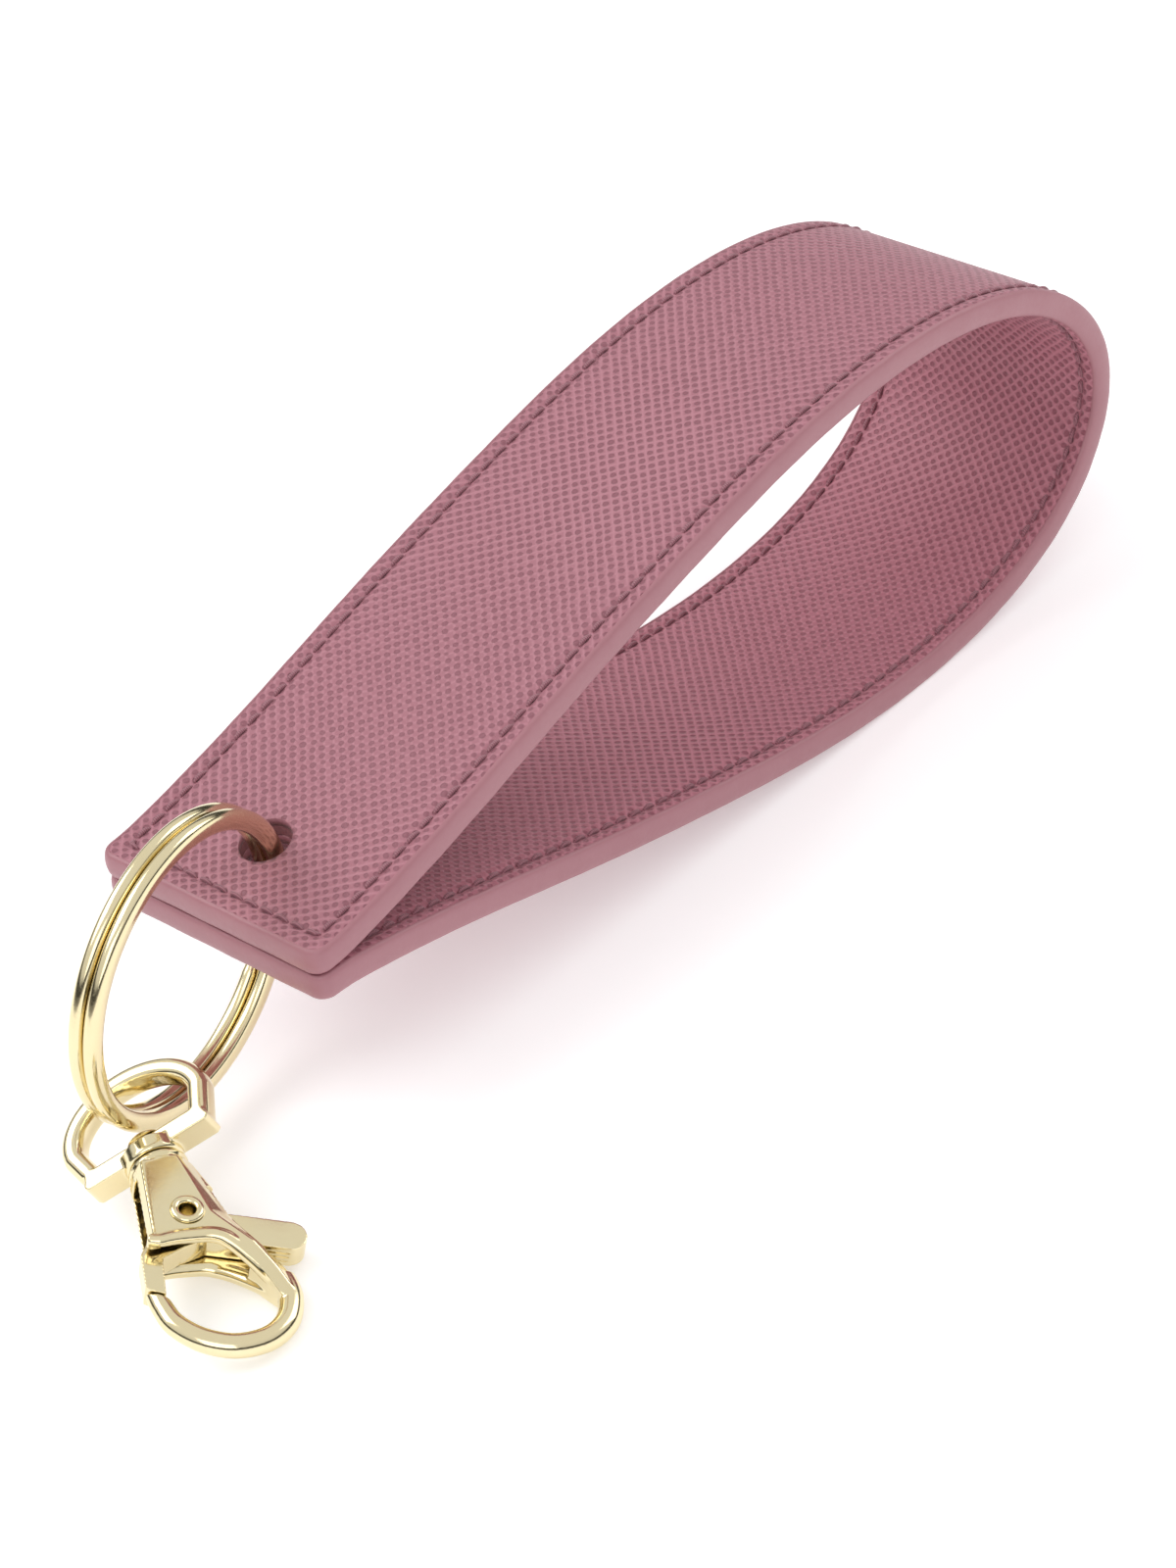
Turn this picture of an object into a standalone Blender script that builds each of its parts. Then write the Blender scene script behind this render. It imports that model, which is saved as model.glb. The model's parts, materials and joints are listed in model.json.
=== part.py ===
"""Wristlet strap key fob: a sewn loop strap, a split ring, and a swivel snap clasp with a sprung trigger.

The loop lies on its belly with its stitched ends towards -X and its width along Y. The split ring passes
through both strap ends, and the clasp hangs on it and lies on the ground. Shapes are worked out in
millimetres, each moving group in its own frame, and come out in metres with +Z up.
"""

import math

import bmesh
import bpy
from mathutils import Vector

MM = 0.001

# Strap: width, thickness of one layer, and half the height of the folded loop
STRAP_WIDTH = 30.0
LAYER = 2.9
LOOP_HALF_HEIGHT = 20.35
SHEET = 0.9
LAMINATE_GAP = 0.05
PAINT = 0.55
PAINT_GAP = 0.05
END_PARTING = 0.12

# Stitch rows: distance of the row from the long edges and from the ends, and the groove that it lies in
ROW_INSET = 2.2
END_ROW_INSET = 2.7
GROOVE_DEPTH = 0.5
GROOVE_FLOOR = 0.2
GROOVE_MOUTH = 0.45
THREAD_RADIUS = 0.2
THREAD_SINK = 0.23
THREAD_CORNER = 0.25

# The punched hole that the split ring runs in: its place along and across the strap, and its size
HOLE_ALONG = 8.4
HOLE_SIDE = 0.5
HOLE_RADIUS = 2.7

# Half of the loop's centre line, as control points of a cubic B-spline: distance from the ends, and height
# over the loop's middle plane. The other half mirrors it.
END_HEIGHT = LAYER / 2 + END_PARTING / 2
LOOP_CONTROL = [
    (-3.9, END_HEIGHT),
    (-0.9, END_HEIGHT),
    (2.7, END_HEIGHT),
    (8.0, 2.5),
    (20.0, 5.2),
    (38.0, 10.5),
    (56.0, 14.8),
    (72.0, 18.1),
    (87.0, 19.3),
    (101.3, 17.9),
    (113.5, 13.0),
    (120.5, 4.4),
]
STATION_TURN = math.radians(9)
STATION_LENGTH = 13.0

# Split ring: a flattened wire in two turns, side by side along the ring's axis. Angles count round that axis
# from the wire in the hole.
RING_RADIUS = 16.0
RING_WIRE_RADIAL = 2.1
RING_WIRE_AXIAL = 1.55
RING_WIRE_CHAMFER = 0.35
RING_COIL_GAP = 0.1
RING_SECTIONS = 92
RING_RISE = 0.7
RING_YAW = math.radians(9.9)
RING_LEAN = math.radians(6.8)
RING_DROOP = math.radians(-3.4)
RING_STEP_ANGLE = math.radians(335)
RING_STEP_HALF = math.radians(11)
RING_END_GAP = math.radians(3)

# Clasp frame: the origin is on the eye's base, X runs from there to the hook and Z out of the front plate
CLASP_BASE = (-17.85, -6.77, 7.06)
CLASP_HEADING = math.radians(-117.3)
CLASP_PITCH = math.radians(11.7)
CLASP_ROLL = math.radians(-13.0)
EYE_ROLL = math.radians(33.5)

# Swivel eye: a cast D with a flat base bar and a boss
EYE_BASE_HALF = 6.6
EYE_BASE_THICK = 1.9
EYE_BASE_CHAMFER = 0.4
EYE_LENGTH = 10.6
EYE_HALF = 7.9
EYE_BAR = 1.05
EYE_DEPTH = 1.5
EYE_BORE = 1.25
EYE_BOSS = 0.75

# Swivel rivet: domed head inside the eye, flared tail inside the housing
SWIVEL_SHANK = 1.15
SWIVEL_HEAD = 2.0
SWIVEL_HEAD_HIGH = 0.8
SWIVEL_TAIL = 1.55
SWIVEL_TAIL_THICK = 0.55
SWIVEL_PLAY = 0.08

# Clasp body: two plates joined by a right wall, over a hook of round rod. Outlines are in X and Y.
NECK_RADIUS = 2.9
NECK_START = 0.95
NECK_COLLAR = 0.8
HOUSING_START = 1.9
HOUSING_HALF = 2.75
PLATE = 1.2
POCKET_HALF = HOUSING_HALF - PLATE
HOUSING_LEFT = [(HOUSING_START, -2.9), (10.5, -4.35)]
HOUSING_CORNER = (11.0, -3.9)
HOUSING_CORNER_RADIUS = 0.62
HOUSING_RIM = [(11.4, -2.4), (11.5, -0.8), (11.9, 1.7), (13.1, 3.1), (16.0, 4.7), (19.0, 5.8)]
HOUSING_WALL = [(19.0, 8.1), (16.2, 7.4), (13.1, 6.2), (9.2, 4.9), (HOUSING_START, 2.9)]
HOUSING_WALL_HALF = 1.0
PLATE_RIGHT = [(19.0, 7.2), (16.2, 6.2), (13.1, 4.6), (9.2, 2.2), (HOUSING_START, 1.3)]
POCKET = [
    (2.9, -1.7),
    (3.6, -7.0),
    (24.0, -7.0),
    (24.0, 2.0),
    (15.0, 3.6),
    (14.4, 9.0),
    (5.4, 9.0),
    (5.4, 2.7),
    (2.9, 1.8),
]
TAPER_START = 13.6
TAPER_END = 18.8
PIVOT = (8.7, 0.1)
HOOK_CENTRE = (17.3, 1.3)
HOOK_RADIUS = 5.75
HOOK_ROD = 1.2
HOOK_ROOT = (16.6, 6.9)
HOOK_TIP = [(17.4, -4.55), (15.1, -5.05)]
ROD_SIDES = 10

# The box, in front view, in which the gate's sweep is cut out of the hook's tip
TIP_WINDOW = [(13.4, -8.0), (21.4, -8.0), (21.4, -1.0), (13.4, -1.0)]

# Trigger: cam disc, gate bar and thumb lever, measured from the pivot, with its hollow rivet and its spring
GATE_REACH = 8.8
GATE_CLEARANCE = 0.15
GATE_OUTER = [(1.2, -3.9), (2.7, -5.2)]
GATE_INNER = [(3.7, -3.4), (2.9, -1.2)]
GATE_TIP_ANGLES = (math.radians(-42.5), math.radians(-29.5))
LEVER_ANGLE = math.radians(66)
LEVER_LENGTH = 9.6
LEVER_HALF = 1.65
LEVER_ROOT = 2.2
CAM_RADIUS = 3.0
CAM_ANGLES = (math.radians(120), math.radians(240))
TRIGGER_TOP = 0.2
TRIGGER_BOTTOM = -POCKET_HALF + 0.12
TRIGGER_THICK_TOP = 1.1
RIVET_SHANK = 1.15
RIVET_BORE = 0.72
RIVET_HEAD = 1.6
RIVET_HEAD_THICK = 0.35
PIVOT_CLEARANCE = 0.08
SPRING_WIRE = 0.17
SPRING_RADIUS = 1.72
SPRING_TURNS = 2.25
SPRING_PITCH = 0.38
SPRING_START_ANGLE = math.radians(250)

COLOURS = {
    "saffiano_pink": ((0.46, 0.19, 0.25), 0.55, 0.0),
    "lining_pink": ((0.42, 0.17, 0.23), 0.55, 0.0),
    "board": ((0.55, 0.42, 0.33), 0.8, 0.0),
    "edge_paint": ((0.56, 0.27, 0.33), 0.4, 0.0),
    "thread": ((0.38, 0.13, 0.18), 0.6, 0.0),
    "pale_gold": ((0.83, 0.76, 0.52), 0.16, 1.0),
    "spring_steel": ((0.6, 0.6, 0.6), 0.3, 1.0),
}


def clear_scene():
    for old in list(bpy.data.objects):
        bpy.data.objects.remove(old, do_unlink=True)


def material(name):
    colour, roughness, metallic = COLOURS[name]
    made = bpy.data.materials.get(name) or bpy.data.materials.new(name)
    made.use_nodes = True
    shader = made.node_tree.nodes["Principled BSDF"]
    shader.inputs["Base Color"].default_value = (*colour, 1.0)
    shader.inputs["Roughness"].default_value = roughness
    shader.inputs["Metallic"].default_value = metallic
    return made


def finish(name, shape, material_name, parent=None, smooth=True):
    """Turns a bmesh in millimetres into an object in metres, facing outwards."""
    bmesh.ops.recalc_face_normals(shape, faces=shape.faces)
    if shape.calc_volume(signed=True) < 0:
        bmesh.ops.reverse_faces(shape, faces=shape.faces)
    bmesh.ops.scale(shape, vec=(MM, MM, MM), verts=shape.verts)
    mesh = bpy.data.meshes.new(name)
    shape.to_mesh(mesh)
    shape.free()
    if smooth:
        mesh.shade_smooth()
        mesh.set_sharp_from_angle(angle=math.radians(35))
    made = bpy.data.objects.new(name, mesh)
    bpy.context.scene.collection.objects.link(made)
    if material_name:
        mesh.materials.append(material(material_name))
    made.parent = parent
    return made


def empty(name, location, rotation, parent=None):
    made = bpy.data.objects.new(name, None)
    bpy.context.scene.collection.objects.link(made)
    made.location = Vector(location) * MM
    made.rotation_euler = rotation
    made.parent = parent
    return made


def combine(target, other, operation):
    """Adds an exact Boolean and hides the other shape, which is only a tool."""
    modifier = target.modifiers.new(other.name, "BOOLEAN")
    modifier.operation = operation
    modifier.solver = "EXACT"
    modifier.object = other
    other.hide_render = True
    other.display_type = "WIRE"


# Shape helpers


def loft(shape, rings, closed=False):
    """Skins a list of rings with equal counts of points: closed into a hoop, or with its two ends capped."""
    rows = [[shape.verts.new(point) for point in ring] for ring in rings]
    count = len(rows[0])
    following = rows[1:] + rows[:1] if closed else rows[1:]
    for row, after in zip(rows, following):
        for i in range(count):
            j = (i + 1) % count
            shape.faces.new((row[i], row[j], after[j], after[i]))
    if not closed:
        shape.faces.new(rows[0][::-1])
        shape.faces.new(rows[-1])


def prism(outline, low, high):
    """A flat outline in X and Y drawn out along Z."""
    shape = bmesh.new()
    loft(shape, [[(x, y, z) for x, y in outline] for z in (low, high)])
    return shape


def turned(profile, sides, axis="X"):
    """A closed profile of (distance along, radius) points, revolved about the axis."""
    shape = bmesh.new()
    rings = []
    for i in range(sides):
        angle = 2 * math.pi * i / sides
        c, s = math.cos(angle), math.sin(angle)
        if axis == "X":
            rings.append([(along, radius * c, radius * s) for along, radius in profile])
        else:
            rings.append([(radius * c, radius * s, along) for along, radius in profile])
    loft(shape, rings, closed=True)
    bmesh.ops.remove_doubles(shape, verts=shape.verts, dist=1e-5)
    bmesh.ops.dissolve_degenerate(shape, edges=shape.edges, dist=1e-6)
    return shape


def arc(centre, radius, start, end, count):
    """Points on an arc from start to end, in radians, both included."""
    angles = [start + (end - start) * i / (count - 1) for i in range(count)]
    return [(centre[0] + radius * math.cos(a), centre[1] + radius * math.sin(a)) for a in angles]


def moved(shape, offset):
    bmesh.ops.translate(shape, vec=offset, verts=shape.verts)
    return shape


def spline_point(control, t):
    """A point of the uniform cubic B-spline; t counts spans."""
    span = min(int(t), len(control) - 4)
    u = t - span
    weights = (
        (1 - u) ** 3 / 6,
        (3 * u**3 - 6 * u**2 + 4) / 6,
        (-3 * u**3 + 3 * u**2 + 3 * u + 1) / 6,
        u**3 / 6,
    )
    points = control[span : span + 4]
    return tuple(sum(w * p[i] for w, p in zip(weights, points)) for i in range(len(points[0])))


# The strap. A place in it is (s, y, t): length along the centre line from the upper end, across the width,
# and through the thickness, with t positive on the loop's outer face.


class Loop:
    """The loop's centre line, measured by length, and the stations that every layer shares."""

    def __init__(self):
        mirrored = [(x, -z) for x, z in reversed(LOOP_CONTROL)]
        control = LOOP_CONTROL + mirrored
        steps = 60 * (len(control) - 3)
        line = [Vector(spline_point(control, i / 60)) for i in range(steps + 1)]
        self.line = line
        self.length_at = [0.0]
        for a, b in zip(line, line[1:]):
            self.length_at.append(self.length_at[-1] + (b - a).length)
        self.length = self.length_at[-1]
        self.stations = self.choose_stations()

    def frame(self, s):
        """The centre point at length s, and the unit vectors along the line and out of the loop, in X and Z."""
        high = next((i for i, at in enumerate(self.length_at) if at >= s and i > 0), len(self.line) - 1)
        low = high - 1
        share = (s - self.length_at[low]) / (self.length_at[high] - self.length_at[low])
        point = self.line[low].lerp(self.line[high], share)
        before = self.line[max(low - 1, 0)]
        after = self.line[min(high + 1, len(self.line) - 1)]
        along = (after - before).normalized()
        return point, along, Vector((-along.y, along.x))

    def place(self, s, y, t):
        point, _, outward = self.frame(s)
        spot = point + outward * t
        return Vector((spot.x, y, spot.y))

    def choose_stations(self):
        """Lengths at which the layers have a cross-section: closer where the line turns."""
        chosen = [0.0]
        _, along, _ = self.frame(0.0)
        probe = 0.0
        while probe < self.length:
            probe += 0.5
            _, now, _ = self.frame(probe)
            if along.angle(now) > STATION_TURN or probe - chosen[-1] > STATION_LENGTH:
                chosen.append(probe)
                along = now
        middle = [s for s in chosen if END_ROW_INSET + 2.0 < s < self.length / 2]
        return middle + [self.length / 2] + [self.length - s for s in reversed(middle)]


def sheet_stations(loop):
    """The shared stations, with those that the end rows' grooves need, inside the painted ends."""
    row = END_ROW_INSET
    grooves = [row - GROOVE_MOUTH, row - GROOVE_FLOOR, row + GROOVE_FLOOR, row + GROOVE_MOUTH]
    near = [PAINT + PAINT_GAP, *grooves]
    return near + loop.stations + [loop.length - s for s in reversed(near)]


def sheet_columns():
    row = STRAP_WIDTH / 2 - ROW_INSET
    edge = STRAP_WIDTH / 2 - PAINT - PAINT_GAP
    right = [edge, row + GROOVE_MOUTH, row + GROOVE_FLOOR, row - GROOVE_FLOOR, row - GROOVE_MOUTH]
    return [-y for y in right] + right[::-1]


def in_groove(loop, s, y):
    """True on the floor of the stitch groove, a rounded rectangle around the whole strap."""
    row = STRAP_WIDTH / 2 - ROW_INSET
    from_end = min(s, loop.length - s)
    slack = GROOVE_FLOOR + 0.01
    on_side = abs(abs(y) - row) < slack and from_end > END_ROW_INSET - slack
    on_end = abs(from_end - END_ROW_INSET) < slack and abs(y) < row + slack
    return on_side or on_end


def sheet(loop, low, high, grooved):
    """One laminate layer from t = low to t = high, with the stitch groove in its outer or inner face."""
    stations = sheet_stations(loop)
    columns = sheet_columns()
    shape = bmesh.new()

    def grid(t, depth):
        rows = []
        for s in stations:
            row = [t - depth if in_groove(loop, s, y) else t for y in columns]
            rows.append([shape.verts.new(loop.place(s, y, at)) for y, at in zip(columns, row)])
        return rows

    top = grid(high, GROOVE_DEPTH if grooved == "outer" else 0.0)
    bottom = grid(low, -GROOVE_DEPTH if grooved == "inner" else 0.0)
    last = len(columns) - 1
    for i in range(len(stations) - 1):
        for j in range(last):
            shape.faces.new((top[i][j], top[i + 1][j], top[i + 1][j + 1], top[i][j + 1]))
            shape.faces.new((bottom[i][j], bottom[i][j + 1], bottom[i + 1][j + 1], bottom[i + 1][j]))
        for j in (0, last):
            shape.faces.new((top[i][j], top[i + 1][j], bottom[i + 1][j], bottom[i][j]))
    for i in (0, len(stations) - 1):
        for j in range(last):
            shape.faces.new((top[i][j], top[i][j + 1], bottom[i][j + 1], bottom[i][j]))
    return shape


def board(loop, half):
    """The stiffener between the two faces: a plain strip of half-thickness half."""
    edge = STRAP_WIDTH / 2 - PAINT - PAINT_GAP
    shape = bmesh.new()
    corners = [(edge, half), (-edge, half), (-edge, -half), (edge, -half)]
    loft(shape, [[loop.place(s, y, t) for y, t in corners] for s in sheet_stations(loop)])
    return shape


def perimeter(loop, side, end, corner):
    """Stations around the strap's outline as (s, y, share along X', share along Y), with cut corners."""
    inner = [s for s in loop.stations if end + corner < s < loop.length - end - corner]
    top = [end + corner, *inner, loop.length - end - corner]
    far = loop.length - end
    cut = side - corner
    slope = math.sqrt(0.5)
    right = [(s, -side, 0.0, -1.0) for s in top]
    left = [(s, side, 0.0, 1.0) for s in reversed(top)]
    outer_corner = [(far - corner * 0.3, -side + corner * 0.3, slope, -slope), (far, -cut, 1.0, 0.0)]
    far_left = [(far, cut, 1.0, 0.0), (far - corner * 0.3, side - corner * 0.3, slope, slope)]
    near_left = [(end + corner * 0.3, side - corner * 0.3, -slope, slope), (end, cut, -1.0, 0.0)]
    near_right = [(end, -cut, -1.0, 0.0), (end + corner * 0.3, -side + corner * 0.3, -slope, -slope)]
    return right + outer_corner + far_left + left + near_left + near_right


def edge_bead(loop):
    """The painted edge: one bead around the whole strap, flat inside and rounded outside."""
    half = LAYER / 2
    profile = [
        (0.0, half - 0.02),
        (0.3, half - 0.08),
        (PAINT, half * 0.5),
        (PAINT, -half * 0.5),
        (0.3, -half + 0.08),
        (0.0, -half + 0.02),
    ]
    shape = bmesh.new()
    rings = []
    inner_side = STRAP_WIDTH / 2 - PAINT
    corner = 0.02
    for s, y, along, across in perimeter(loop, inner_side, PAINT, corner):
        stretch = 1.0 / max(abs(along), abs(across))
        ring = []
        for out, t in profile:
            ring.append(loop.place(s + along * out * stretch, y + across * out * stretch, t))
        rings.append(ring)
    loft(shape, rings, closed=True)
    return shape


def thread_ring(loop, t):
    """A thread that lies in the stitch groove all the way around the strap."""
    row = STRAP_WIDTH / 2 - ROW_INSET
    shape = bmesh.new()
    rings = []
    sides = 6
    for s, y, along, across in perimeter(loop, row, END_ROW_INSET, THREAD_CORNER):
        ring = []
        for i in range(sides):
            angle = 2 * math.pi * (i + 0.5) / sides
            out = THREAD_RADIUS * math.cos(angle)
            lift = THREAD_RADIUS * math.sin(angle)
            ring.append(loop.place(s + along * out, y + across * out, t + lift))
        rings.append(ring)
    loft(shape, rings, closed=True)
    return shape


def hole_punch(name, parent):
    """The upright punch that cuts the ring's hole through one strap layer."""
    height = 12.0
    outline = arc((HOLE_ALONG, HOLE_SIDE), HOLE_RADIUS, 0, 2 * math.pi * 23 / 24, 24)
    return finish(name, prism(outline, -height, height), None, parent)


def build_strap():
    loop = Loop()
    strap = empty("strap_frame", (0, 0, LOOP_HALF_HEIGHT), (0, 0, 0))
    half = LAYER / 2
    inner = half - SHEET
    layers = [
        finish("outer_skin", sheet(loop, inner, half, "outer"), "saffiano_pink", strap),
        finish("stiffener_board", board(loop, inner - LAMINATE_GAP), "board", strap),
        finish("inner_skin", sheet(loop, -half, -inner, "inner"), "lining_pink", strap),
    ]
    punch = hole_punch("hole_punch", strap)
    for layer in layers:
        combine(layer, punch, "DIFFERENCE")
    finish("edge_paint", edge_bead(loop), "edge_paint", strap)
    finish("needle_thread", thread_ring(loop, half - THREAD_SINK), "thread", strap)
    finish("bobbin_thread", thread_ring(loop, -half + THREAD_SINK), "thread", strap)
    return strap


# Split ring, in a frame whose Y is the ring's axis and whose origin is where the wire crosses the hole


def ring_wire_place(angle):
    """Axial place of the wire's middle at an angle counted from the step."""
    side = (RING_WIRE_AXIAL + RING_COIL_GAP) / 2
    turn = 2 * math.pi
    if angle < turn - RING_STEP_HALF:
        return -side
    if angle > turn + RING_STEP_HALF:
        return side
    share = (angle - turn + RING_STEP_HALF) / (2 * RING_STEP_HALF)
    return side * (2 * (3 * share**2 - 2 * share**3) - 1)


def build_ring(parent):
    middle = RING_RADIUS - RING_WIRE_RADIAL / 2
    first = RING_STEP_HALF + RING_END_GAP
    last = 4 * math.pi - first
    half_radial = RING_WIRE_RADIAL / 2
    half_axial = RING_WIRE_AXIAL / 2
    cut = RING_WIRE_CHAMFER
    section = [
        (half_radial, half_axial - cut),
        (half_radial - cut, half_axial),
        (-half_radial + cut, half_axial),
        (-half_radial, half_axial - cut),
        (-half_radial, -half_axial + cut),
        (-half_radial + cut, -half_axial),
        (half_radial - cut, -half_axial),
        (half_radial, -half_axial + cut),
    ]
    rings = []
    for i in range(RING_SECTIONS + 1):
        angle = first + (last - first) * i / RING_SECTIONS
        axial = ring_wire_place(angle)
        turn = angle + RING_STEP_ANGLE
        out = Vector((math.cos(turn), 0, math.sin(turn)))
        centre = out * middle - Vector((middle, 0, 0)) + Vector((0, axial, 0))
        rings.append([centre + out * radial + Vector((0, along, 0)) for radial, along in section])
    shape = bmesh.new()
    loft(shape, rings)
    return finish("split_ring", shape, "pale_gold", parent)


def swept_rod(path, wide, deep, sides):
    """A rod of elliptical section along a path in the XY plane, capped at both ends."""
    rings = []
    for i, point in enumerate(path):
        before = path[max(i - 1, 0)]
        after = path[min(i + 1, len(path) - 1)]
        along = (after - before).normalized()
        out = Vector((along.y, -along.x, 0))
        ring = []
        for k in range(sides):
            angle = 2 * math.pi * (k + 0.5) / sides
            ring.append(point + out * (wide * math.cos(angle)) + Vector((0, 0, deep * math.sin(angle))))
        rings.append(ring)
    shape = bmesh.new()
    loft(shape, rings)
    return shape


def bore_tool(name, radius, low, high, parent, axis="X", sides=20):
    profile = [(low, 0.0), (low, radius), (high, radius), (high, 0.0)]
    return finish(name, turned(profile, sides, axis), None, parent)


# Swivel eye, in the clasp's frame rolled about X


def eye_bow(parent):
    """The bow: half an ellipse and two legs that run into the base bar."""
    reach = EYE_LENGTH - EYE_BAR
    half = EYE_HALF - EYE_BAR
    long = reach * 0.52
    bend = []
    for i in range(15):
        angle = math.pi / 2 + math.pi * i / 14
        bend.append(Vector((-(reach - long) + long * math.cos(angle), half * math.sin(angle), 0)))
    foot = EYE_BASE_HALF - EYE_BAR
    path = [Vector((-0.6, foot, 0)), *bend, Vector((-0.6, -foot, 0))]
    return finish("eye_bow_tool", swept_rod(path, EYE_BAR * 1.06, EYE_DEPTH, 8), None, parent)


def build_eye(parent):
    cut = EYE_BASE_CHAMFER
    outline = [
        (-EYE_BASE_THICK, EYE_BASE_HALF - cut),
        (-cut, EYE_BASE_HALF + cut / 2),
        (0.0, EYE_BASE_HALF - cut),
        (0.0, -EYE_BASE_HALF + cut),
        (-cut, -EYE_BASE_HALF - cut / 2),
        (-EYE_BASE_THICK, -EYE_BASE_HALF + cut),
    ]
    eye = finish("swivel_eye", prism(outline, -EYE_DEPTH, EYE_DEPTH), "pale_gold", parent)
    inside = 0.2
    boss_profile = [
        (-1.0, inside),
        (EYE_BOSS, inside),
        (EYE_BOSS, NECK_RADIUS - 0.25),
        (EYE_BOSS - 0.25, NECK_RADIUS),
        (-1.0, NECK_RADIUS),
    ]
    boss = finish("eye_boss_tool", turned(boss_profile, 24), None, parent)
    combine(eye, eye_bow(parent), "UNION")
    combine(eye, boss, "UNION")
    combine(eye, bore_tool("eye_bore_tool", EYE_BORE, -4.0, 2.0, parent), "DIFFERENCE")
    return eye


def build_swivel_rivet(parent):
    head = -EYE_BASE_THICK - SWIVEL_PLAY
    tail = HOUSING_START + 1.3
    profile = [
        (head - SWIVEL_HEAD_HIGH, 0.0),
        (head - SWIVEL_HEAD_HIGH * 0.9, 0.8),
        (head - SWIVEL_HEAD_HIGH * 0.6, 1.55),
        (head - SWIVEL_HEAD_HIGH * 0.25, SWIVEL_HEAD),
        (head, SWIVEL_HEAD),
        (head, SWIVEL_SHANK),
        (tail, SWIVEL_SHANK),
        (tail, SWIVEL_TAIL),
        (tail + SWIVEL_TAIL_THICK * 0.75, SWIVEL_TAIL - 0.25),
        (tail + SWIVEL_TAIL_THICK, 0.0),
    ]
    return finish("swivel_rivet", turned(profile, 20), "pale_gold", parent)


# Clasp body


def tapered_housing():
    """The housing block, full depth at the plates and thinning down to the rod where the hook begins."""
    corner = arc(HOUSING_CORNER, HOUSING_CORNER_RADIUS, -math.pi / 2, 0, 4)
    wide = HOUSING_LEFT + corner + HOUSING_RIM + HOUSING_WALL
    narrow = HOUSING_LEFT + corner + HOUSING_RIM + PLATE_RIGHT
    levels = [
        (narrow, -HOUSING_HALF),
        (wide, -HOUSING_WALL_HALF),
        (wide, HOUSING_WALL_HALF),
        (narrow, HOUSING_HALF),
    ]
    shape = bmesh.new()
    loft(shape, [[(x, y, z) for x, y in outline] for outline, z in levels])
    everything = shape.verts[:] + shape.edges[:] + shape.faces[:]
    cut_at = (TAPER_START, 0, 0)
    bmesh.ops.bisect_plane(shape, geom=everything, plane_co=cut_at, plane_no=(1, 0, 0), dist=1e-6)
    thinnest = 0.95 * HOOK_ROD / HOUSING_HALF
    for vert in shape.verts:
        if vert.co.x > TAPER_START:
            share = min(1.0, (vert.co.x - TAPER_START) / (TAPER_END - TAPER_START))
            vert.co.z *= 1 - share * (1 - thinnest)
    return shape


def hook_rod():
    """The hook: round rod from the right wall, around the end, up to the tip that the gate closes on."""
    bend = arc(HOOK_CENTRE, HOOK_RADIUS, math.radians(80), math.radians(-68), 13)
    path = [Vector((x, y, 0)) for x, y in [HOOK_ROOT, *bend, *HOOK_TIP]]
    return swept_rod(path, HOOK_ROD, HOOK_ROD, ROD_SIDES)


def gate_path_at_tip(parent):
    """The space that the gate's end sweeps through beside the hook's tip, with its clearance."""
    reach = GATE_REACH + GATE_CLEARANCE
    profile = [(-4.0, 0.0), (-4.0, reach), (4.0, reach), (4.0, 0.0)]
    swept = finish("gate_path_tool", moved(turned(profile, 64, "Z"), (*PIVOT, 0)), None, parent)
    window = finish("tip_window_tool", prism(TIP_WINDOW, -4.2, 4.2), None, parent)
    combine(swept, window, "INTERSECT")
    return swept


def build_clasp_body(parent):
    body = finish("clasp_body", tapered_housing(), "pale_gold", parent)
    inside = 0.2
    neck_end = HOUSING_START + 0.6
    neck_profile = [
        (NECK_START, inside),
        (NECK_START, NECK_RADIUS - 0.3),
        (NECK_START + 0.3, NECK_RADIUS),
        (NECK_START + NECK_COLLAR, NECK_RADIUS),
        (neck_end, 2.6),
        (neck_end, inside),
    ]
    neck = finish("neck_tool", turned(neck_profile, 24), None, parent)
    hook = finish("hook_tool", hook_rod(), None, parent)
    combine(hook, gate_path_at_tip(parent), "DIFFERENCE")
    pocket = finish("pocket_tool", prism(POCKET, -POCKET_HALF, POCKET_HALF), None, parent)
    rivet_hole = bore_tool("rivet_hole_tool", RIVET_SHANK + PIVOT_CLEARANCE, -4.0, 4.0, parent, "Z")
    rivet_hole.location = Vector((*PIVOT, 0)) * MM
    combine(body, neck, "UNION")
    combine(body, pocket, "DIFFERENCE")
    combine(body, hook, "UNION")
    combine(body, bore_tool("neck_bore_tool", EYE_BORE, 0.0, HOUSING_START + 1.25, parent), "DIFFERENCE")
    combine(body, rivet_hole, "DIFFERENCE")
    return body


# Trigger, in a frame on its own pivot, which keeps the clasp's directions


def trigger_outline():
    """Front view: gate bar down to the hook's tip, thumb lever out of the right wall, cam disc between."""
    tip = arc((0, 0), GATE_REACH, *GATE_TIP_ANGLES, 3)
    along = Vector((math.cos(LEVER_ANGLE), math.sin(LEVER_ANGLE)))
    across = Vector((along.y, -along.x)) * LEVER_HALF
    near = tuple(along * LEVER_ROOT + across)
    far = tuple(along * LEVER_ROOT - across)
    quarter = math.pi / 2
    end = arc(along * LEVER_LENGTH, LEVER_HALF, LEVER_ANGLE - quarter, LEVER_ANGLE + quarter, 7)
    cam = arc((0, 0), CAM_RADIUS, *CAM_ANGLES, 8)
    return GATE_OUTER + tip + GATE_INNER + [near] + end + [far] + cam


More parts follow.
